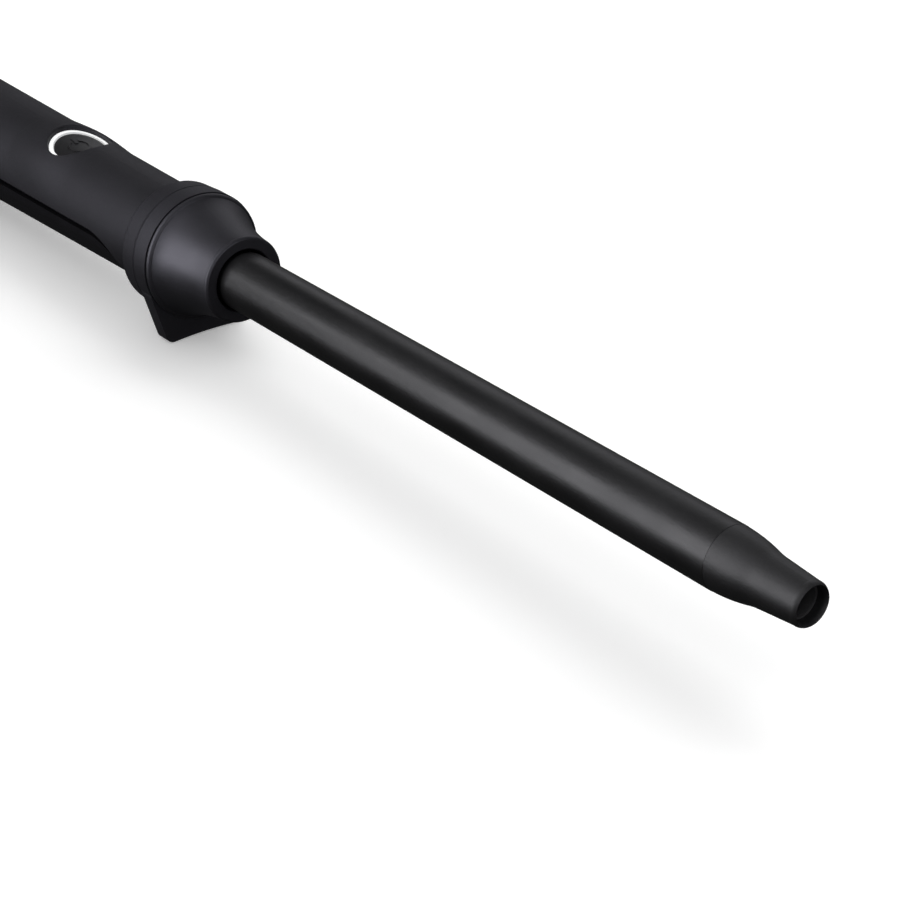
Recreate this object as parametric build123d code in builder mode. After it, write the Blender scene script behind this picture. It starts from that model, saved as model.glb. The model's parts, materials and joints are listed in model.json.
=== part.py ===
"""Curling wand: a thin straight heated barrel on a round handle, with a fixed foot plate.

The pieces are drawn in the wand's own frame: X runs along the axis towards the tip, with
X = 0 at the mouth of the nose cone, and Z is up. At the end the wand is leant back until
its foot plate and the rear of its handle both stand on the table. Millimetres.
"""
from build123d import *
import os
from math import asin, atan2, cos, degrees, hypot, radians, sin

os.makedirs("parts", exist_ok=True)

# ---- driving dimensions: barrel and tip ----
BARREL_R = 7.0              # outer radius of the heated tube, a 14 mm wand
BARREL_WALL = 0.9
BARREL_END = 160.0          # seam between tube and cool tip
BARREL_ROOT = -34.0         # inner end of the tube, inside the collar
BARREL_ROOT_R = 6.55        # turned down inside the nose cone, where the mount holds it
BARREL_SHOULDER = 0.5       # where the full barrel radius begins
TIP_END = 181.5             # front of the cool tip
TIP_HOLE_R = 3.9            # open mouth of the cool tip
CORE_R = BARREL_R - BARREL_WALL - 0.15   # room for what is pushed into the tube

# ---- driving dimensions: nose cone, collar and foot ----
MOUTH_R = 10.2              # outer lip of the nose cone
MOUTH_HOLE_R = 7.55         # hole that the tube comes out of
CONE_BASE_X = -18.1
CONE_BASE_R = 15.6
STAND_FRONT, STAND_REAR = -18.2, -23.15
FOOT_REAR = -22.3
COLLAR_FRONT, COLLAR_REAR = -23.35, -28.9
COLLAR_R = 15.75            # outer radius of the stand ring
COLLAR_REAR_R = 15.4
RING_BORE_R = 13.0          # bore of both rings, over the handle's neck
FOOT_DROP = 20.03           # from the axis to the pads at the foot plate's corners
FOOT_ARCH = 19.72           # from the axis to the arch between the pads
FOOT_TOP_Y, FOOT_TOP_Z = 15.1, -4.5          # where the plate's sides leave the ring
FOOT_LOW_Y, FOOT_LOW_Z = 10.36, -20.2        # its lower corners, before rounding
FOOT_CORNER_R = 2.2

# ---- driving dimensions: handle ----
NECK_X = -24.0              # front end of the handle shell, inside the rings
NECK_R = 12.9
HANDLE_REAR = -180.0        # seam between handle and rear cap
HANDLE_REAR_R = 15.2
REAR_CAP_END = -189.0
WALL = 1.8
GAP_TOP = 0.5               # lower edge of the upper shell
GAP_WIDTH = 2.0             # shadow gap between the shell and the underside cover
SHELL_CORNER_X = -47.0      # where the shell's edge turns down to run under the neck
FRAME_R = 10.3              # inner frame that shows dark in the gap

# ---- driving dimensions: power button ----
BUTTON_X = -72.0
WELL_R = 7.88               # round well in the top of the handle
WELL_RIM_R = 0.45           # rounding of the well's rim
LIGHT_RING_R = 7.7
LIGHT_RING_BORE = 6.72
BUTTON_R = 6.45
BUTTON_TOP = 11.64          # height of the ring's face over the axis, at its centre
BUTTON_TRAVEL = 0.5
CROWN_R = 25.0              # crown of the button and its ring, side to side
CROWN_LEAN = -9.6           # degrees, falling towards the tip
WELL_FLOOR = 6.6
LED_RADIUS = 7.3            # the lamps sit under the ring
WELL_FLOOR_THICKNESS = 1.2
HUMP_X = -74.8              # crest of the hump round the well
HUMP_RISE = 0.86            # its height over the handle
HUMP_REAR_LENGTH, HUMP_FRONT_LENGTH = 16.3, 14.8
HUMP_SPREAD = 82.0          # degrees it reaches down each side
HUMP_UNDERLAP = 0.04        # how far its faded edge lies under the handle's surface

# ---- driving dimensions: cord swivel ----
SWIVEL_JOURNAL_R = 5.0
SWIVEL_CLEARANCE = 0.05
CORD_HOLE_R = 3.1

REAR_CAP_ROUNDING = 4.5
REAR_CAP_R = HANDLE_REAR_R

# ---- how the wand stands: the foot's bottom and the rear cap's rounded edge share a table ----
FOOT_X = (STAND_FRONT + FOOT_REAR) / 2
rear_centre_x = REAR_CAP_END + REAR_CAP_ROUNDING
rear_drop = FOOT_DROP - (REAR_CAP_R - REAR_CAP_ROUNDING)
rear_distance = hypot(FOOT_X - rear_centre_x, rear_drop)
LEAN = atan2(rear_drop, FOOT_X - rear_centre_x) - asin(REAR_CAP_ROUNDING / rear_distance)
TABLE = Plane(origin=(FOOT_X, 0, -FOOT_DROP), z_dir=(sin(LEAN), 0, cos(LEAN)))

pieces = []


def finish(piece, label):
    """Name a finished piece and keep it for the final placing."""
    piece.part.label = label
    pieces.append(piece)


def sleeve(start, end, bore_r, outer_r):
    """A plain tube along the wand's axis."""
    with BuildPart() as tube:
        with BuildSketch(Plane.YZ.offset(start)):
            Circle(outer_r)
            if bore_r > 0:
                Circle(bore_r, mode=Mode.SUBTRACT)
        extrude(amount=end - start)
    return tube


def block(centre, size, rounding=0.0):
    """A rectangular block with softened upright edges."""
    with BuildPart() as box:
        with BuildSketch(Plane.XY.offset(centre[2] - size[2] / 2)):
            with Locations((centre[0], centre[1])):
                if rounding > 0:
                    RectangleRounded(size[0], size[1], rounding)
                else:
                    Rectangle(size[0], size[1])
        extrude(amount=size[2])
    return box


# ---- heated barrel and cool tip ----
with BuildPart() as barrel_tube:
    with BuildSketch(Plane.YZ.offset(BARREL_ROOT)):
        Circle(BARREL_ROOT_R)
    extrude(amount=BARREL_SHOULDER - BARREL_ROOT)
    with BuildSketch(Plane.YZ.offset(BARREL_SHOULDER)):
        Circle(BARREL_R)
    extrude(amount=BARREL_END - BARREL_SHOULDER)
    with BuildSketch(Plane.YZ.offset(BARREL_ROOT)):
        Circle(BARREL_R - BARREL_WALL)
    extrude(amount=BARREL_END - BARREL_ROOT, mode=Mode.SUBTRACT)
finish(barrel_tube, "barrel_tube")

SPIGOT_DEPTH = 9.0
TIP_SEAM = 0.04             # hairline gap between the tube and the tip
TIP_BORE_END = BARREL_END - SPIGOT_DEPTH
with BuildPart() as cool_tip_cap:
    with BuildSketch(Plane.XZ):
        with BuildLine():
            root = Line((BARREL_END + TIP_SEAM, CORE_R), (BARREL_END + TIP_SEAM, BARREL_R - 0.06))
            shoulder = ThreePointArc(root @ 1, (164.9, 6.55), (168.2, 5.95))
            neck = ThreePointArc(shoulder @ 1, (169.8, 5.6), (171.6, 5.4))
            nose = Line(neck @ 1, (TIP_END - 1.5, 4.72))
            rim = ThreePointArc(nose @ 1, (TIP_END - 0.45, 4.56), (TIP_END, 4.25))
            lip = ThreePointArc(rim @ 1, (TIP_END - 0.45, 4.0), (TIP_END - 1.5, TIP_HOLE_R))
            bore = Line(lip @ 1, (TIP_BORE_END, TIP_HOLE_R))
            back = Line(bore @ 1, (TIP_BORE_END, CORE_R))
            Line(back @ 1, root @ 0)
        make_face()
    revolve(axis=Axis.X)
finish(cool_tip_cap, "cool_tip_cap")

TIP_SLEEVE_BORE = 3.35
TIP_SLEEVE_FRONT = TIP_END - 2.6
with BuildPart() as tip_sleeve:
    with BuildSketch(Plane.YZ.offset(TIP_BORE_END)):
        Circle(TIP_HOLE_R - 0.05)
    extrude(amount=TIP_SLEEVE_FRONT - TIP_BORE_END)
    with BuildSketch(Plane.YZ.offset(TIP_BORE_END + 3.0)):
        Circle(TIP_SLEEVE_BORE)
    extrude(amount=TIP_SLEEVE_FRONT - TIP_BORE_END, mode=Mode.SUBTRACT)
finish(tip_sleeve, "tip_sleeve")

# ---- nose cone ----
with BuildPart() as nose_cone:
    with BuildSketch(Plane.XZ):
        with BuildLine():
            face = Line((CONE_BASE_X, MOUTH_HOLE_R + 5.2), (CONE_BASE_X, CONE_BASE_R - 0.2))
            edge = ThreePointArc(face @ 1, (-17.55, 15.55), (-16.7, 14.75))
            flare = Spline(edge @ 1, (-11.4, 12.5), (-6.0, 11.2), (-1.0, 10.55),
                           tangents=((1, -0.75), (1, -0.1)))
            lip = ThreePointArc(flare @ 1, (-0.25, 10.4), (0, MOUTH_R - 0.2))
            mouth = Line(lip @ 1, (0, MOUTH_HOLE_R + 0.35))
            brow = ThreePointArc(mouth @ 1, (-0.1, MOUTH_HOLE_R + 0.1), (-0.35, MOUTH_HOLE_R))
            hole = Line(brow @ 1, (-3.0, MOUTH_HOLE_R))
            inner = Line(hole @ 1, (-3.0, 9.2))
            cavity = Spline(inner @ 1, (-10.0, 10.4), (CONE_BASE_X, MOUTH_HOLE_R + 5.2),
                            tangents=((-1, 0.1), (-1, 0.6)))
        make_face()
    revolve(axis=Axis.X)
finish(nose_cone, "nose_cone")

# ---- stand ring with its foot plate, and the collar ring behind it ----
with BuildPart() as stand_ring:
    with BuildSketch(Plane.YZ.offset(STAND_REAR)):
        Circle(COLLAR_R)
    extrude(amount=STAND_FRONT - STAND_REAR)
    with BuildSketch(Plane.YZ.offset(FOOT_REAR)):
        with BuildLine():
            Line((-FOOT_TOP_Y, FOOT_TOP_Z), (-FOOT_LOW_Y, FOOT_LOW_Z))
            ThreePointArc((-FOOT_LOW_Y, FOOT_LOW_Z), (0, -FOOT_ARCH), (FOOT_LOW_Y, FOOT_LOW_Z))
            Line((FOOT_LOW_Y, FOOT_LOW_Z), (FOOT_TOP_Y, FOOT_TOP_Z))
            Line((FOOT_TOP_Y, FOOT_TOP_Z), (-FOOT_TOP_Y, FOOT_TOP_Z))
        plate = make_face()
        fillet(plate.vertices().group_by(Axis.Z)[0], FOOT_CORNER_R)
    extrude(amount=STAND_FRONT - FOOT_REAR)
    with BuildSketch(Plane.YZ.offset(STAND_REAR)):
        Circle(RING_BORE_R)
    extrude(amount=STAND_FRONT - STAND_REAR, mode=Mode.SUBTRACT)
    split(bisect_by=TABLE, keep=Keep.TOP)
    chamfer(stand_ring.edges().filter_by(GeomType.CIRCLE).group_by(Axis.X)[0].sort_by(
        SortBy.RADIUS)[-1], 0.25)
finish(stand_ring, "stand_ring")

with BuildPart() as collar_ring:
    with BuildSketch(Plane.XZ):
        with BuildLine():
            Polyline((COLLAR_REAR, RING_BORE_R), (COLLAR_REAR, COLLAR_REAR_R),
                     (COLLAR_FRONT, COLLAR_R - 0.05), (COLLAR_FRONT, RING_BORE_R), close=True)
        make_face()
    revolve(axis=Axis.X)
    fillet(collar_ring.edges().filter_by(GeomType.CIRCLE).group_by(Axis.X)[0].sort_by(
        SortBy.RADIUS)[-1], 0.8)
    chamfer(collar_ring.edges().filter_by(GeomType.CIRCLE).group_by(Axis.X)[-1].sort_by(
        SortBy.RADIUS)[-1], 0.25)
finish(collar_ring, "collar_ring")


# ---- handle: upper shell, underside cover, inner frame, rear cap ----
def handle_outline(inset):
    """The side outline of the upper handle, drawn inset from its surface."""
    with BuildLine() as outline:
        neck_end = Line((NECK_X, 0), (NECK_X, NECK_R - inset))
        barrel_side = Spline(neck_end @ 1, (-52.0, 13.28 - inset), (-93.0, 13.86 - inset),
                             (-127.0, 14.34 - inset), (HANDLE_REAR, HANDLE_REAR_R - inset))
        rear_end = Line(barrel_side @ 1, (HANDLE_REAR, 0))
        Line(rear_end @ 1, neck_end @ 0)
    return outline


def underside_outline(inset):
    """The side outline of the underside cover, slightly slimmer than the shell."""
    with BuildLine() as outline:
        front_end = Line((-30.0, 0), (-30.0, 12.15 - inset))
        belly = Spline(front_end @ 1, (-51.0, 12.5 - inset), (-100.0, 13.4 - inset),
                       (-140.0, 14.2 - inset), (HANDLE_REAR, HANDLE_REAR_R - inset))
        rear_end = Line(belly @ 1, (HANDLE_REAR, 0))
        Line(rear_end @ 1, front_end @ 0)
    return outline


def cut_below(drop):
    """Side profile of everything under the shell's edge, lowered by drop."""
    with BuildLine() as below:
        corner = (SHELL_CORNER_X - drop / 3, GAP_TOP - drop)
        edge = Line((HANDLE_REAR - 20, GAP_TOP - drop), corner)
        turn = ThreePointArc(edge @ 1, (-38.6 - 0.75 * drop, -2.6 - 0.7 * drop),
                             (-32.6 - drop, -9.5))
        front = Line(turn @ 1, (-31.0 - drop, -20.0))
        floor = Line(front @ 1, (HANDLE_REAR - 20, -20.0))
        Line(floor @ 1, edge @ 0)
    return below


# The hump round the button's well fades out along the handle and down both sides.
def hump_point(x, angle):
    """A point of the hump's surface in its section at x, angle degrees from the top."""
    length = HUMP_REAR_LENGTH if x < HUMP_X else HUMP_FRONT_LENGTH
    along = max(0.0, 1 - ((x - HUMP_X) / length) ** 2) ** 2
    around = (1 - (angle / HUMP_SPREAD) ** 4) ** 2
    handle = 13.28 - (x + 52.0) * 0.01415
    radius = handle - HUMP_UNDERLAP + (HUMP_RISE + HUMP_UNDERLAP) * along * around
    return (radius * sin(radians(angle)), radius * cos(radians(angle)))


HUMP_STEPS = 6
with BuildPart() as hump:
    for step in range(-HUMP_STEPS, HUMP_STEPS + 1):
        reach = HUMP_REAR_LENGTH if step < 0 else HUMP_FRONT_LENGTH
        section_x = HUMP_X + reach * step / HUMP_STEPS
        with BuildSketch(Plane.YZ.offset(section_x)):
            with BuildLine():
                turns = [HUMP_SPREAD * turn / 6 for turn in range(-6, 7)]
                crest = Spline(*[hump_point(section_x, turn) for turn in turns])
                Line(crest @ 1, crest @ 0)
            make_face()
    loft()

with BuildPart() as handle_shell:
    with BuildSketch(Plane.XZ):
        add(handle_outline(0).line)
        make_face()
    revolve(axis=Axis.X)
    add(hump.part)
    with BuildSketch(Plane.XZ):
        add(handle_outline(WALL).line)
        make_face()
    revolve(axis=Axis.X, mode=Mode.SUBTRACT)
    with BuildSketch(Plane.XZ):
        add(cut_below(0).line)
        make_face()
    extrude(amount=20, both=True, mode=Mode.SUBTRACT)
    # The well that holds the light ring and the button.
    with BuildSketch(Plane.XY.offset(WELL_FLOOR - WELL_FLOOR_THICKNESS)):
        with Locations((BUTTON_X, 0)):
            Circle(WELL_R + 1.1)
    extrude(amount=5.5)
    with BuildSketch(Plane.XY.offset(WELL_FLOOR)):
        with Locations((BUTTON_X, 0)):
            Circle(WELL_R)
    extrude(amount=12, mode=Mode.SUBTRACT)
    well_edges = handle_shell.edges().filter_by_position(
        Axis.X, BUTTON_X - WELL_R - 0.1, BUTTON_X + WELL_R + 0.1)
    rim_edge = well_edges.filter_by(lambda edge: edge.length < 7 * WELL_R).sort_by(SortBy.LENGTH)[-1]
    fillet(rim_edge, WELL_RIM_R)
    with BuildSketch(Plane.XY.offset(WELL_FLOOR - 2)):
        with Locations((BUTTON_X, 0)):
            Circle(2.6)
        with Locations((BUTTON_X, 0)):
            with PolarLocations(LED_RADIUS, 4, 45):
                Circle(0.7)
    extrude(amount=4, mode=Mode.SUBTRACT)
finish(handle_shell, "handle_shell")

UNDERSIDE_WALL = 1.5
with BuildPart() as underside_cover:
    with BuildSketch(Plane.XZ):
        add(underside_outline(0).line)
        make_face()
    revolve(axis=Axis.X)
    with BuildSketch(Plane.XZ):
        add(underside_outline(UNDERSIDE_WALL).line)
        make_face()
    revolve(axis=Axis.X, mode=Mode.SUBTRACT)
    with BuildSketch(Plane.XZ):
        add(cut_below(GAP_WIDTH).line)
        make_face()
    extrude(amount=20, both=True, mode=Mode.INTERSECT)
finish(underside_cover, "underside_cover")

FRAME_WALL = 1.2
FRAME_FRONT, FRAME_REAR = -35.5, -178.0
BOARD_TOP = 2.0
BOARD_THICKNESS = 1.4
BOARD_REAR, BOARD_FRONT = -150.0, -46.0
BRIDGE_XS = (-146.0, -50.0)
with BuildPart() as inner_frame:
    with BuildSketch(Plane.YZ.offset(FRAME_REAR)):
        Circle(FRAME_R)
        Circle(FRAME_R - FRAME_WALL, mode=Mode.SUBTRACT)
    extrude(amount=FRAME_FRONT - FRAME_REAR)
    # Window for the button's well.
    with BuildSketch(Plane.XY.offset(4.9)):
        with Locations((BUTTON_X, 0)):
            Rectangle(2 * WELL_R + 3.2, 2 * FRAME_R)
    extrude(amount=10, mode=Mode.SUBTRACT)
    # Bridges that the circuit board is screwed to.
    with BuildSketch(Plane.XY.offset(BOARD_TOP - BOARD_THICKNESS - 2.1)):
        for bridge_x in BRIDGE_XS:
            with Locations((bridge_x, 0)):
                Rectangle(7, 2 * FRAME_R - 1.6)
    extrude(amount=2.0)
    with BuildSketch(Plane.XY.offset(-3)):
        for bridge_x in BRIDGE_XS:
            with Locations((bridge_x, 0)):
                Circle(1.05)
    extrude(amount=6, mode=Mode.SUBTRACT)
finish(inner_frame, "inner_frame")

HOUSING_R = 8.4
with BuildPart() as rear_cap:
    with BuildSketch(Plane.XZ):
        with BuildLine():
            rim = Line((HANDLE_REAR - 0.3, HOUSING_R + 0.1), (HANDLE_REAR - 0.3, REAR_CAP_R))
            side = Line(rim @ 1, (REAR_CAP_END + REAR_CAP_ROUNDING, REAR_CAP_R))
            turn = RadiusArc(side @ 1, (REAR_CAP_END, REAR_CAP_R - REAR_CAP_ROUNDING),
                             -REAR_CAP_ROUNDING)
            back = Line(turn @ 1, (REAR_CAP_END, HOUSING_R + 0.1))
            Line(back @ 1, rim @ 0)
        make_face()
    revolve(axis=Axis.X)
finish(rear_cap, "rear_cap")

# ---- power button, its light ring and what is under them ----
lean_dir = (cos(radians(CROWN_LEAN)), 0, sin(radians(CROWN_LEAN)))
crown_up = (-sin(radians(CROWN_LEAN)), 0, cos(radians(CROWN_LEAN)))


def crown_plane(lowered=0.0):
    """Plane square to the crown cylinder that trims the button and its ring."""
    down = CROWN_R + lowered
    origin = (BUTTON_X - down * crown_up[0], 0, BUTTON_TOP - down * crown_up[2])
    return Plane(origin=origin, x_dir=(0, 1, 0), z_dir=lean_dir)


with BuildPart() as light_ring:
    with BuildSketch(Plane.XY.offset(WELL_FLOOR + 0.05)):
        with Locations((BUTTON_X, 0)):
            Circle(LIGHT_RING_R)
            Circle(LIGHT_RING_BORE, mode=Mode.SUBTRACT)
    extrude(amount=8)
    with BuildSketch(crown_plane()):
        Circle(CROWN_R)
    extrude(amount=14, both=True, mode=Mode.INTERSECT)
finish(light_ring, "light_ring")

BUTTON_RECESS = 0.35
SYMBOL_HEIGHT = 0.25
SWITCH_TOP = 5.55
# A plain broken ring and bar stand up from the button's face.
with BuildPart() as symbol:
    with BuildSketch(Plane.XY.offset(WELL_FLOOR + 2.0)):
        with Locations((BUTTON_X, 0)):
            Circle(2.9)
            Circle(2.3, mode=Mode.SUBTRACT)
        with Locations((BUTTON_X - 2.6, 0)):
            Rectangle(2.2, 2.0, mode=Mode.SUBTRACT)
            Rectangle(2.8, 0.6)
    extrude(amount=7)
    with BuildSketch(crown_plane(BUTTON_RECESS - SYMBOL_HEIGHT)):
        Circle(CROWN_R)
    extrude(amount=14, both=True, mode=Mode.INTERSECT)

with BuildPart() as power_button:
    with BuildSketch(Plane.XY.offset(WELL_FLOOR + 1.0)):
        with Locations((BUTTON_X, 0)):
            Circle(BUTTON_R)
    extrude(amount=8)
    with BuildSketch(crown_plane(BUTTON_RECESS)):
        Circle(CROWN_R)
    extrude(amount=14, both=True, mode=Mode.INTERSECT)
    add(symbol.part)
    with BuildSketch(Plane.XY.offset(SWITCH_TOP + BUTTON_TRAVEL + 0.1)):
        with Locations((BUTTON_X, 0)):
            Circle(2.2)
    extrude(amount=3)
finish(power_button, "power_button")

with BuildPart() as tactile_switch:
    with BuildSketch(Plane.XY.offset(BOARD_TOP)):
        with Locations((BUTTON_X, 0)):
            RectangleRounded(6, 6, 0.4)
    extrude(amount=2.6)
    with BuildSketch(Plane.XY.offset(BOARD_TOP + 2.5)):
        with Locations((BUTTON_X, 0)):
            Circle(1.6)
    extrude(amount=SWITCH_TOP - BOARD_TOP - 2.5)
finish(tactile_switch, "tactile_switch")

# ---- circuit board and its parts ----
board_mid = (BOARD_REAR + BOARD_FRONT) / 2
with BuildPart() as circuit_board:
    with BuildSketch(Plane.XY.offset(BOARD_TOP - BOARD_THICKNESS)):
        with Locations((board_mid, 0)):
            RectangleRounded(BOARD_FRONT - BOARD_REAR, 15.4, 1.5)
        for bridge_x in BRIDGE_XS:
            with Locations((bridge_x, 0)):
                Circle(1.15, mode=Mode.SUBTRACT)
    extrude(amount=BOARD_THICKNESS)
finish(circuit_board, "circuit_board")

SCREW_HEAD_SEAT = BOARD_TOP + 0.02
with BuildPart() as board_screws:
    for bridge_x in BRIDGE_XS:
        with BuildSketch(Plane.XY.offset(-2.4)):
            with Locations((bridge_x, 0)):
                Circle(1.0)
        extrude(amount=SCREW_HEAD_SEAT + 2.4)
        with BuildSketch(Plane.XY.offset(SCREW_HEAD_SEAT)):
            with Locations((bridge_x, 0)):
                Circle(1.9)
        extrude(amount=1.2)
finish(board_screws, "board_screws")

with BuildPart() as status_leds:
    with BuildSketch(Plane.XY.offset(BOARD_TOP + 0.02)):
        with Locations((BUTTON_X, 0)):
            with PolarLocations(LED_RADIUS, 4, 45):
                Rectangle(1.6, 1.6)
    extrude(amount=0.8)
finish(status_leds, "status_leds")

finish(block((-100.0, 0, BOARD_TOP + 0.55), (7, 7, 1.0)), "microcontroller")
finish(block((-104.0, 0, -3.2), (17, 7, 7.2), 0.8), "filter_capacitor")
finish(block((-131.0, 0, -2.4), (10, 9, 4.6), 0.4), "heater_triac")

with BuildPart() as sounder:
    with BuildSketch(Plane.XY.offset(BOARD_TOP + 0.05)):
        with Locations((-116.0, 0)):
            Circle(5.0)
    extrude(amount=2.6)
    with BuildSketch(Plane.XY.offset(BOARD_TOP + 1.6)):
        with Locations((-116.0, 0)):
            Circle(1.0)
    extrude(amount=2, mode=Mode.SUBTRACT)
finish(sounder, "sounder")

# ---- what holds the barrel in the collar ----
FLANGE_SCREWS = 3
FLANGE_SCREW_CIRCLE = 9.3
with BuildPart() as barrel_mount:
    with BuildSketch(Plane.YZ.offset(-33.6)):
        Circle(10.9)
        Circle(BARREL_ROOT_R + 0.05, mode=Mode.SUBTRACT)
        with PolarLocations(FLANGE_SCREW_CIRCLE, FLANGE_SCREWS, 90):
            Circle(0.95, mode=Mode.SUBTRACT)
    extrude(amount=9.2)
finish(barrel_mount, "barrel_mount")

with BuildPart() as nose_carrier:
    with BuildSketch(Plane.YZ.offset(-23.8)):
        Circle(12.9)
    extrude(amount=5.3)
    with BuildSketch(Plane.YZ.offset(-18.5)):
        Circle(11.2)
    extrude(amount=3.3)
    with BuildSketch(Plane.YZ.offset(-23.8)):
        Circle(BARREL_R + 0.6)
        with PolarLocations(FLANGE_SCREW_CIRCLE, FLANGE_SCREWS, 90):
            Circle(1.1)
    extrude(amount=12, mode=Mode.SUBTRACT)
finish(nose_carrier, "nose_carrier")

with BuildPart() as mount_screws:
    with BuildSketch(Plane.YZ.offset(-31.0)):
        with PolarLocations(FLANGE_SCREW_CIRCLE, FLANGE_SCREWS, 90):
            Circle(0.9)
    extrude(amount=15.9)
    with BuildSketch(Plane.YZ.offset(-15.1)):
        with PolarLocations(FLANGE_SCREW_CIRCLE, FLANGE_SCREWS, 90):
            Circle(1.35)
    extrude(amount=1.0)
finish(mount_screws, "mount_screws")

finish(sleeve(-23.6, -14.0, BARREL_ROOT_R + 0.05, BARREL_R + 0.4), "insulating_sleeve")

# ---- heater inside the barrel ----
HEATER_START, HEATER_END = 6.0, 130.0
HEATER_THICKNESS = 1.3
finish(block(((HEATER_START + HEATER_END) / 2, 0, 0),
             (HEATER_END - HEATER_START, 7.6, HEATER_THICKNESS)), "ceramic_heater")

SENSOR_X, SENSOR_R = 60.0, 0.8
for side, name in ((1, "heat_spreader_upper"), (-1, "heat_spreader_lower")):
    with BuildPart() as spreader:
        with BuildSketch(Plane.YZ.offset(HEATER_START - 1)):
            Circle(CORE_R)
            with Locations((0, -side * CORE_R + side * (HEATER_THICKNESS / 2 + 0.03))):
                Rectangle(2 * CORE_R + 1, 2 * CORE_R, mode=Mode.SUBTRACT)
            with Locations((0, side * 4.6)):
                Circle(SENSOR_R + 0.1, mode=Mode.SUBTRACT)
        extrude(amount=HEATER_END - HEATER_START + 2)
    finish(spreader, name)

with BuildPart() as temperature_sensor:
    with BuildSketch(Plane.YZ.offset(SENSOR_X)):
        with Locations((0, 4.6)):
            Circle(SENSOR_R)
    extrude(amount=5)
finish(temperature_sensor, "temperature_sensor")

with BuildPart() as thermal_fuse:
    with BuildSketch(Plane.YZ.offset(-20.0)):
        with Locations((0, -3.4)):
            Circle(1.5)
    extrude(amount=11)
finish(thermal_fuse, "thermal_fuse")

with BuildPart() as heater_leads:
    with BuildSketch(Plane.YZ.offset(-45.0)):
        with Locations((-2.4, 0.2), (2.4, 0.2)):
            Circle(0.6)
    extrude(amount=HEATER_START - 1.1 + 45.0)
finish(heater_leads, "heater_leads")

# ---- cord swivel at the rear of the handle ----
JOURNAL_FRONT = -174.0
SPINDLE_R = 3.7
SPINDLE_FRONT = -158.0
with BuildPart() as swivel_housing:
    with BuildSketch(Plane.YZ.offset(REAR_CAP_END + 0.6)):
        Circle(HOUSING_R)
        Circle(SWIVEL_JOURNAL_R + SWIVEL_CLEARANCE, mode=Mode.SUBTRACT)
    extrude(amount=JOURNAL_FRONT - REAR_CAP_END - 0.6)
finish(swivel_housing, "swivel_housing")

CORD_HOLE_DEPTH = 18.0
with BuildPart() as swivel_gland:
    with BuildSketch(Plane.XZ):
        with BuildLine():
            Polyline((REAR_CAP_END - 9.0, 0), (REAR_CAP_END - 9.0, 4.9),
                     (REAR_CAP_END - 0.4, 7.2), (REAR_CAP_END - 0.4, SWIVEL_JOURNAL_R),
                     (JOURNAL_FRONT + 0.4, SWIVEL_JOURNAL_R), (JOURNAL_FRONT + 0.4, 3.9),
                     (JOURNAL_FRONT + 1.6, 3.9), (JOURNAL_FRONT + 1.6, 4.6),
                     (JOURNAL_FRONT + 2.4, 4.6), (JOURNAL_FRONT + 2.4, SPINDLE_R),
                     (SPINDLE_FRONT, SPINDLE_R), (SPINDLE_FRONT, 0), close=True)
        make_face()
    revolve(axis=Axis.X)
    with BuildSketch(Plane.YZ.offset(REAR_CAP_END - 9.0)):
        Circle(CORD_HOLE_R)
    extrude(amount=CORD_HOLE_DEPTH, mode=Mode.SUBTRACT)
    with BuildSketch(Plane.YZ.offset(REAR_CAP_END)):
        Circle(2.2)
    extrude(amount=40, mode=Mode.SUBTRACT)
    fillet(swivel_gland.edges().filter_by(GeomType.CIRCLE).group_by(Axis.X)[0].sort_by(
        SortBy.RADIUS)[-1], 0.8)
finish(swivel_gland, "swivel_gland")

finish(sleeve(JOURNAL_FRONT + 0.5, JOURNAL_FRONT + 1.5, 3.95, 6.6), "retaining_clip")

RING_XS = (-169.5, -164.0)
with BuildPart() as contact_rings:
    for ring_x in RING_XS:
        with BuildSketch(Plane.YZ.offset(ring_x)):
            Circle(4.7)
            Circle(SPINDLE_R + 0.02, mode=Mode.SUBTRACT)
        extrude(amount=2.5)
finish(contact_rings, "contact_rings")

with BuildPart() as contact_brushes:
    for ring_x in RING_XS:
        with BuildSketch(Plane.XZ.offset(-4.8)):
            with Locations((ring_x + 1.25, 0)):
                Rectangle(1.8, 2.4)
        extrude(amount=-4.1)
finish(contact_brushes, "contact_brushes")

# ---- stand the whole wand on its table and write one file per piece ----
leant = Pos(0, 0, 0) * Rot(0, -degrees(LEAN), 0)
boxes = [piece.part.moved(leant).bounding_box() for piece in pieces]
mid_x = (min(box.min.X for box in boxes) + max(box.max.X for box in boxes)) / 2
foot_point = leant * Pos(FOOT_X, 0, -FOOT_DROP)
standing = Pos(-mid_x, 0, -foot_point.position.Z) * leant
print(f"lean {degrees(LEAN):.3f} degrees, moved by x {-mid_x:.3f}, z {-foot_point.position.Z:.3f}")
print(f"lowest {min(box.min.Z for box in boxes) - foot_point.position.Z:.4f}")
for piece in pieces:
    placed = piece.part.moved(standing)
    placed.label = piece.part.label
    export_step(placed, f"parts/{placed.label}.step")
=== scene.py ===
"""Looks of the curling wand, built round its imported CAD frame. Metres throughout."""
import json
import math

import bpy
from mathutils import Matrix, Vector


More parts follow.
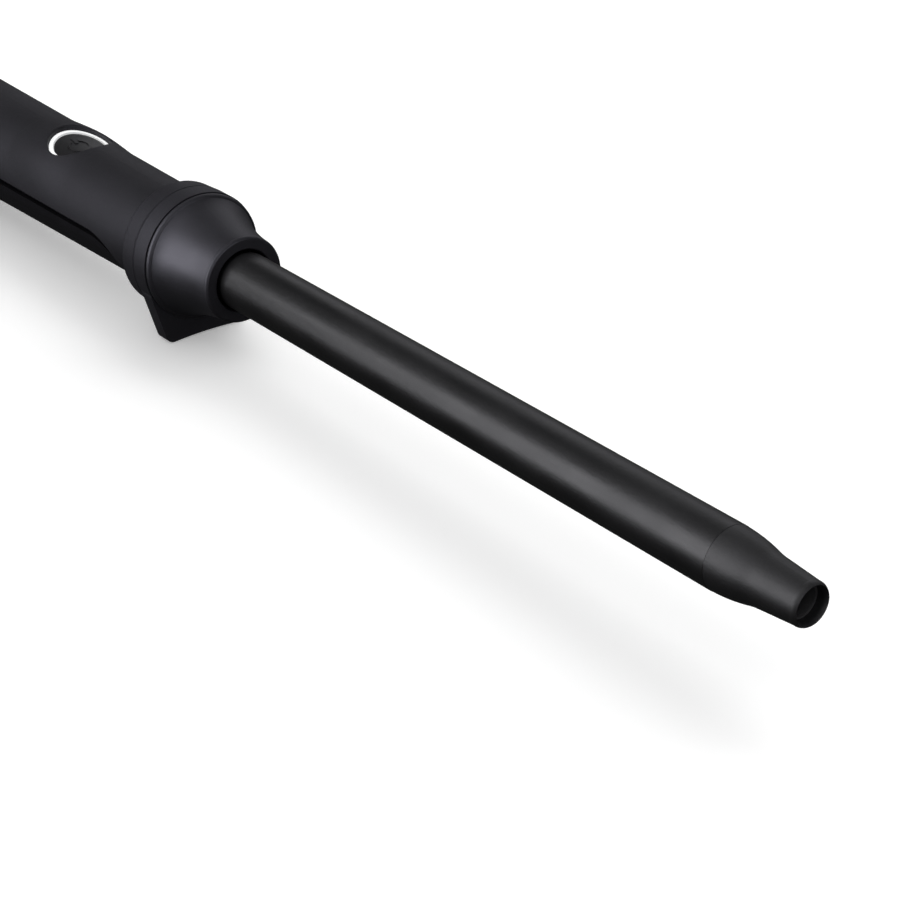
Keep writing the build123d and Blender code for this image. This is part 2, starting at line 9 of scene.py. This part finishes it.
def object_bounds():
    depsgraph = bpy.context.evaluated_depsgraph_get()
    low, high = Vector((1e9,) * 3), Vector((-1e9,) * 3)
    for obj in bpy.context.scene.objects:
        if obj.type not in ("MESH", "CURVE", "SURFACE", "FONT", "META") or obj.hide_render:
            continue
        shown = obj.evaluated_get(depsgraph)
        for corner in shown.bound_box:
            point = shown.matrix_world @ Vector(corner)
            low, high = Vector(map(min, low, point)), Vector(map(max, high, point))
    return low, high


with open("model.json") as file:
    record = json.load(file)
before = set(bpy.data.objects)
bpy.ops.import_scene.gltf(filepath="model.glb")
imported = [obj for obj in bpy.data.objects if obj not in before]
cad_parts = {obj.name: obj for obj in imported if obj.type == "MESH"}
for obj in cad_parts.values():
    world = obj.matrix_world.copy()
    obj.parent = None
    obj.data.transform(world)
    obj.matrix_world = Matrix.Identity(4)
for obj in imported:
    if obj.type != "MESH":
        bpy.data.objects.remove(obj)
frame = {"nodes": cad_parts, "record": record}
cad_low, cad_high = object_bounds()

# ---- the wand's own frame, from the barrel mount: X along the axis from the nose cone's mouth ----
FREE_BARREL = 0.160
mount = next(m for m in frame["record"]["mounts"] if m["name"] == "barrel")
AXIS = Vector(mount["axis"]).normalized()
SIDE = Vector((0, 1, 0))
ABOVE = AXIS.cross(SIDE)
MOUTH = Vector(mount["pos_m"]) + AXIS * (mount["dims"]["length_mm"] / 2000 - FREE_BARREL)


def direction(along, left, above):
    """A direction given in the wand's own frame."""
    return AXIS * along + SIDE * left + ABOVE * above


def point(along, left, above):
    """A point given in the wand's own frame, in metres from the mouth of the nose cone."""
    return MOUTH + direction(along, left, above)


# ---- camera, fitted in the wand's own frame ----
LENS = 96.70
CAMERA_PLACE = point(0.430034, -0.280574, 0.233078)
CAMERA_RIGHT = direction(0.6230, 0.78221, -0.00334).normalized()
CAMERA_BACK = direction(0.68818, -0.54606, 0.47773).normalized()
camera = bpy.data.objects.new("camera", bpy.data.cameras.new("camera"))
camera.data.sensor_width = 36.0
camera.data.lens = LENS
camera.data.clip_start, camera.data.clip_end = 0.01, 50.0
turn = Matrix((CAMERA_RIGHT, CAMERA_BACK.cross(CAMERA_RIGHT), CAMERA_BACK)).transposed()
camera.matrix_world = Matrix.Translation(CAMERA_PLACE) @ turn.to_4x4()
bpy.context.scene.collection.objects.link(camera)
bpy.context.scene.camera = camera
bpy.context.scene.view_settings.view_transform = "Standard"


# ---- materials ----
class Nodes:
    """A material's node tree, with short calls for the few nodes used here."""

    def __init__(self, name):
        self.material = bpy.data.materials.new(name)
        self.material.use_nodes = True
        self.tree = self.material.node_tree
        self.shader = self.tree.nodes["Principled BSDF"]
        self.place = self.add("ShaderNodeTexCoord").outputs["Object"]

    def add(self, kind, **settings):
        node = self.tree.nodes.new(kind)
        for key, value in settings.items():
            setattr(node, key, value)
        return node

    def join(self, source, target):
        self.tree.links.new(source, target)

    def noise(self, size, detail=2.0, roughness=0.5):
        """Noise whose features are about size metres across."""
        node = self.add("ShaderNodeTexNoise")
        node.inputs["Scale"].default_value = 1.0 / size
        node.inputs["Detail"].default_value = detail
        node.inputs["Roughness"].default_value = roughness
        self.join(self.place, node.inputs["Vector"])
        return node.outputs["Fac"]

    def spread(self, value, low, high, source=(0.3, 0.7)):
        """value, mapped from the source range to low..high."""
        node = self.add("ShaderNodeMapRange")
        for name, number in zip(("From Min", "From Max", "To Min", "To Max"), (*source, low, high)):
            node.inputs[name].default_value = number
        self.join(value, node.inputs["Value"])
        return node.outputs["Result"]

    def math(self, operation, first, second):
        node = self.add("ShaderNodeMath", operation=operation)
        for socket, value in zip(node.inputs, (first, second)):
            if isinstance(value, (int, float)):
                socket.default_value = value
            else:
                self.join(value, socket)
        return node.outputs[0]

    def blend(self, share, first, second):
        """Mix of two colours; either may be a socket."""
        node = self.add("ShaderNodeMix", data_type="RGBA")
        self.join(share, node.inputs["Factor"])
        for socket, value in ((node.inputs[6], first), (node.inputs[7], second)):
            if isinstance(value, tuple):
                socket.default_value = (*value, 1.0)
            else:
                self.join(value, socket)
        return node.outputs[2]

    def edges(self, radius):
        """1 on sharp convex and concave edges, 0 on open faces."""
        rounded = self.add("ShaderNodeBevel", samples=4)
        rounded.inputs["Radius"].default_value = radius
        plain = self.add("ShaderNodeNewGeometry").outputs["Normal"]
        dot = self.add("ShaderNodeVectorMath", operation="DOT_PRODUCT")
        self.join(rounded.outputs["Normal"], dot.inputs[0])
        self.join(plain, dot.inputs[1])
        return self.spread(dot.outputs["Value"], 1.0, 0.0, source=(0.80, 0.995))

    def bump(self, height, depth, under=None):
        node = self.add("ShaderNodeBump")
        node.inputs["Distance"].default_value = depth
        self.join(height, node.inputs["Height"])
        if under is not None:
            self.join(under, node.inputs["Normal"])
        return node.outputs["Normal"]


CLOUD_SIZE = 0.018           # metres across a soft patch of uneven colour and gloss
EDGE_WIDTH = 0.0004
WORN_EDGE = 1.35             # how much lighter a rubbed edge is
GLOSS_SPREAD = 0.05          # how far the roughness wanders either way


def moulded(name, colour, roughness, grain=0.0003, depth=0.00002, specular=0.5, mottle=0.12,
            metallic=0.0, tint=(1.0, 1.0, 1.0)):
    """A moulded or coated surface: fine grain, uneven gloss and colour, and rubbed edges."""
    n = Nodes(name)
    shader = n.shader.inputs
    cloud = n.noise(CLOUD_SIZE, detail=4.0)
    fine = n.noise(grain, detail=3.0, roughness=0.6)
    speck = n.noise(grain * 2.3, detail=1.0)
    dark = tuple(c * (1 - mottle) for c in colour)
    light = tuple(c * (1 + mottle) for c in colour)
    base = n.blend(n.spread(cloud, 0.0, 1.0), dark, light)
    base = n.blend(n.spread(speck, 0.0, 0.35), base, tuple(c * (1 + 3 * mottle) for c in colour))
    rim = n.edges(EDGE_WIDTH)
    base = n.blend(n.math("MULTIPLY", rim, 0.5), base, tuple(c * WORN_EDGE for c in colour))
    n.join(base, shader["Base Color"])
    gloss = n.math("ADD", n.spread(cloud, roughness - GLOSS_SPREAD, roughness + GLOSS_SPREAD),
                   n.spread(fine, -GLOSS_SPREAD / 2, GLOSS_SPREAD / 2))
    gloss = n.math("SUBTRACT", gloss, n.math("MULTIPLY", rim, 0.06))
    n.join(gloss, shader["Roughness"])
    wide = n.bump(n.noise(grain * 6, detail=2.0), depth * 1.5)
    n.join(n.bump(fine, depth, under=wide), shader["Normal"])
    shader["Specular IOR Level"].default_value = specular
    shader["Metallic"].default_value = metallic
    shader["Specular Tint"].default_value = (*tint, 1.0)
    return n.material


def lit_ring(name):
    """The white diffuser round the button, glowing a little unevenly over the lamps under it."""
    n = Nodes(name)
    shader = n.shader.inputs
    cloud = n.noise(0.006, detail=2.0)
    colour = n.blend(n.spread(cloud, 0.0, 1.0), (0.86, 0.87, 0.88), (0.95, 0.95, 0.95))
    n.join(colour, shader["Base Color"])
    n.join(colour, shader["Emission Color"])
    shader["Emission Strength"].default_value = 0.45
    n.join(n.spread(cloud, 0.30, 0.42), shader["Roughness"])
    n.join(n.bump(n.noise(0.0004), 0.00001), shader["Normal"])
    return n.material


COOL = (0.90, 0.89, 1.0)     # the grey plastics reflect slightly blue

MATERIALS = {
    "soft_touch": moulded("soft_touch", (0.0118, 0.0116, 0.0134), 0.58, grain=0.00028,
                          depth=0.000012, specular=0.36, tint=COOL),
    "underside_plastic": moulded("underside_plastic", (0.0062, 0.0060, 0.0070), 0.50,
                                 depth=0.00003, specular=0.3, tint=COOL),
    # frame_plastic: the inner chassis, seen only through the gap under the handle. It is black
    # plastic, but its near-zero colour and low gloss are painted shade that stands in for the deep
    # shadow in that gap.
    "frame_plastic": moulded("frame_plastic", (0.002, 0.002, 0.002), 0.60, grain=0.0005,
                             specular=0.1),
    "collar_plastic": moulded("collar_plastic", (0.0115, 0.0113, 0.0136), 0.55, grain=0.0004,
                              depth=0.00003, specular=0.46, tint=COOL),
    "nose_plastic": moulded("nose_plastic", (0.0098, 0.0096, 0.0116), 0.51, grain=0.00035,
                            depth=0.000008, specular=0.68, tint=COOL),
    "barrel_coating": moulded("barrel_coating", (0.0080, 0.0080, 0.0086), 0.40, grain=0.00026,
                              depth=0.000022, mottle=0.15),
    "heat_resistant_plastic": moulded("heat_resistant_plastic", (0.0120, 0.0120, 0.0130), 0.48,
                                      grain=0.0004, depth=0.00003),
    "tip_sleeve_plastic": moulded("tip_sleeve_plastic", (0.075, 0.074, 0.078), 0.5),
    "light_guide": lit_ring("light_guide"),
    "button_plastic": moulded("button_plastic", (0.010, 0.010, 0.011), 0.42, grain=0.0003,
                              depth=0.00001),
    "component_black": moulded("component_black", (0.02, 0.02, 0.02), 0.5),
    "board_laminate": moulded("board_laminate", (0.01, 0.07, 0.03), 0.4, mottle=0.25),
    "steel": moulded("steel", (0.55, 0.55, 0.56), 0.32, metallic=1.0, mottle=0.05),
    "led_lens": moulded("led_lens", (0.75, 0.72, 0.55), 0.25, mottle=0.05),
    "capacitor_case": moulded("capacitor_case", (0.55, 0.32, 0.03), 0.35),
    "mica": moulded("mica", (0.42, 0.33, 0.2), 0.3, mottle=0.3),
    "alumina": moulded("alumina", (0.75, 0.74, 0.7), 0.45, mottle=0.08),
    "bare_aluminium": moulded("bare_aluminium", (0.75, 0.75, 0.76), 0.35, metallic=1.0,
                              mottle=0.05),
    "sensor_glass": moulded("sensor_glass", (0.6, 0.25, 0.1), 0.15),
    "wire_insulation": moulded("wire_insulation", (0.6, 0.6, 0.58), 0.5),
    "gland_plastic": moulded("gland_plastic", (0.014, 0.014, 0.015), 0.5, grain=0.0004),
    "copper": moulded("copper", (0.85, 0.45, 0.28), 0.3, metallic=1.0, mottle=0.1),
}
slots = {s["node"]: s["material_slot"] for s in frame["record"]["subparts"]}
slots["tip_sleeve"] = "tip_sleeve_plastic"
for name, node in frame["nodes"].items():
    node.data.materials.clear()
    node.data.materials.append(MATERIALS[slots[name]])


# ---- studio: soft boxes show in the gloss, wide soft suns light the matt tones and the floor ----
STUDIO = point(0.05, 0, 0)
BOX_DISTANCE = 0.8
BOX_COLOUR = (0.99, 0.985, 1.03)
# Each box: name, azimuth and height in degrees, width and tall in metres, radiance.
BOXES = (("key_low",       250.0,    3.5,  0.64,  0.21,  6.0),
         ("key_high",      249.0,   25.0,  0.60,  0.40,  3.7),
         ("key_left",      224.0,   29.0,  0.26,  0.30,  3.2),
         ("key_top",       263.0,   48.0,  0.55,  0.24,  1.4),
         ("front",         352.0,   14.0,  0.84,  0.50,  1.9),
         ("front_left",    288.0,   22.0,  0.22,  0.62,  1.5),
         ("rear_left",     198.0,   44.0,  0.26,  0.30,  0.35),
         ("rim",           121.0,   28.0,  0.85,  0.46,  0.62),
         ("top",           272.0,   74.0,  0.60,  0.40,  0.75))
for name, azimuth, rise, width, tall, radiance in BOXES:
    around, lift = math.radians(azimuth), math.radians(rise)
    away = direction(math.cos(lift) * math.cos(around), math.cos(lift) * math.sin(around),
                     math.sin(lift))
    box = bpy.data.objects.new(name, bpy.data.lights.new(name, "AREA"))
    box.data.shape = "RECTANGLE"
    box.data.size, box.data.size_y = width, tall
    box.data.energy = radiance * math.pi * width * tall
    box.matrix_world = (Matrix.Translation(STUDIO + away * BOX_DISTANCE)
                        @ away.to_track_quat("Z", "Y").to_matrix().to_4x4())
    box.visible_diffuse = False
    box.data.color = BOX_COLOUR
    bpy.context.scene.collection.objects.link(box)

SUN_SPREAD = 80.0            # degrees, so that their light is soft
SUNS = (("overhead", (0.0, 0.0, 1.0), 1.32),
        ("from_behind", (-0.3, 0.7, 0.5), 2.25),
        ("from_front", (0.2, -0.8, 0.5), 0.61))
for name, away, strength in SUNS:
    sun = bpy.data.objects.new(name, bpy.data.lights.new(name, "SUN"))
    sun.data.energy = strength
    sun.data.angle = math.radians(SUN_SPREAD)
    sun.rotation_mode = "QUATERNION"
    sun.rotation_quaternion = direction(*away).to_track_quat("Z", "Y")
    sun.visible_glossy = False
    bpy.context.scene.collection.objects.link(sun)

FLOOR_HALF = 6.0
FLOOR_DROP = 0.0001          # keeps the floor just under the pads
FLOOR_GLOW = 0.30            # lifts the floor to the white of a lit background
floor_mesh = bpy.data.meshes.new("floor")
floor_mesh.from_pydata([(x * FLOOR_HALF, y * FLOOR_HALF, cad_low.z - FLOOR_DROP)
                        for x, y in ((-1, -1), (1, -1), (1, 1), (-1, 1))], [], [(0, 1, 2, 3)])
floor = bpy.data.objects.new("floor", floor_mesh)
floor.visible_glossy = False
floor.visible_diffuse = False
bpy.context.scene.collection.objects.link(floor)
n = Nodes("pale_floor")
n.join(n.blend(n.spread(n.noise(0.6), 0.0, 1.0), (0.90, 0.90, 0.90), (0.92, 0.92, 0.92)),
       n.shader.inputs["Base Color"])
n.shader.inputs["Roughness"].default_value = 0.7
n.shader.inputs["Specular IOR Level"].default_value = 0.0
n.shader.inputs["Emission Color"].default_value = (1.0, 1.0, 1.0, 1.0)
n.shader.inputs["Emission Strength"].default_value = FLOOR_GLOW
floor_mesh.materials.append(n.material)

WORLD_FILL = 0.03            # light from the surroundings
WORLD_SEEN = 0.97            # the same surroundings as the camera sees them
world = bpy.data.worlds.new("studio")
bpy.context.scene.world = world
world.use_nodes = True
tree = world.node_tree
background = tree.nodes["Background"]
seen = tree.nodes.new("ShaderNodeLightPath")
mix = tree.nodes.new("ShaderNodeMix")
mix.data_type = "RGBA"
tree.links.new(seen.outputs["Is Camera Ray"], mix.inputs["Factor"])
mix.inputs[6].default_value = (WORLD_FILL, WORLD_FILL, WORLD_FILL, 1.0)
mix.inputs[7].default_value = (WORLD_SEEN, WORLD_SEEN, WORLD_SEEN, 1.0)
tree.links.new(mix.outputs[2], background.inputs["Color"])
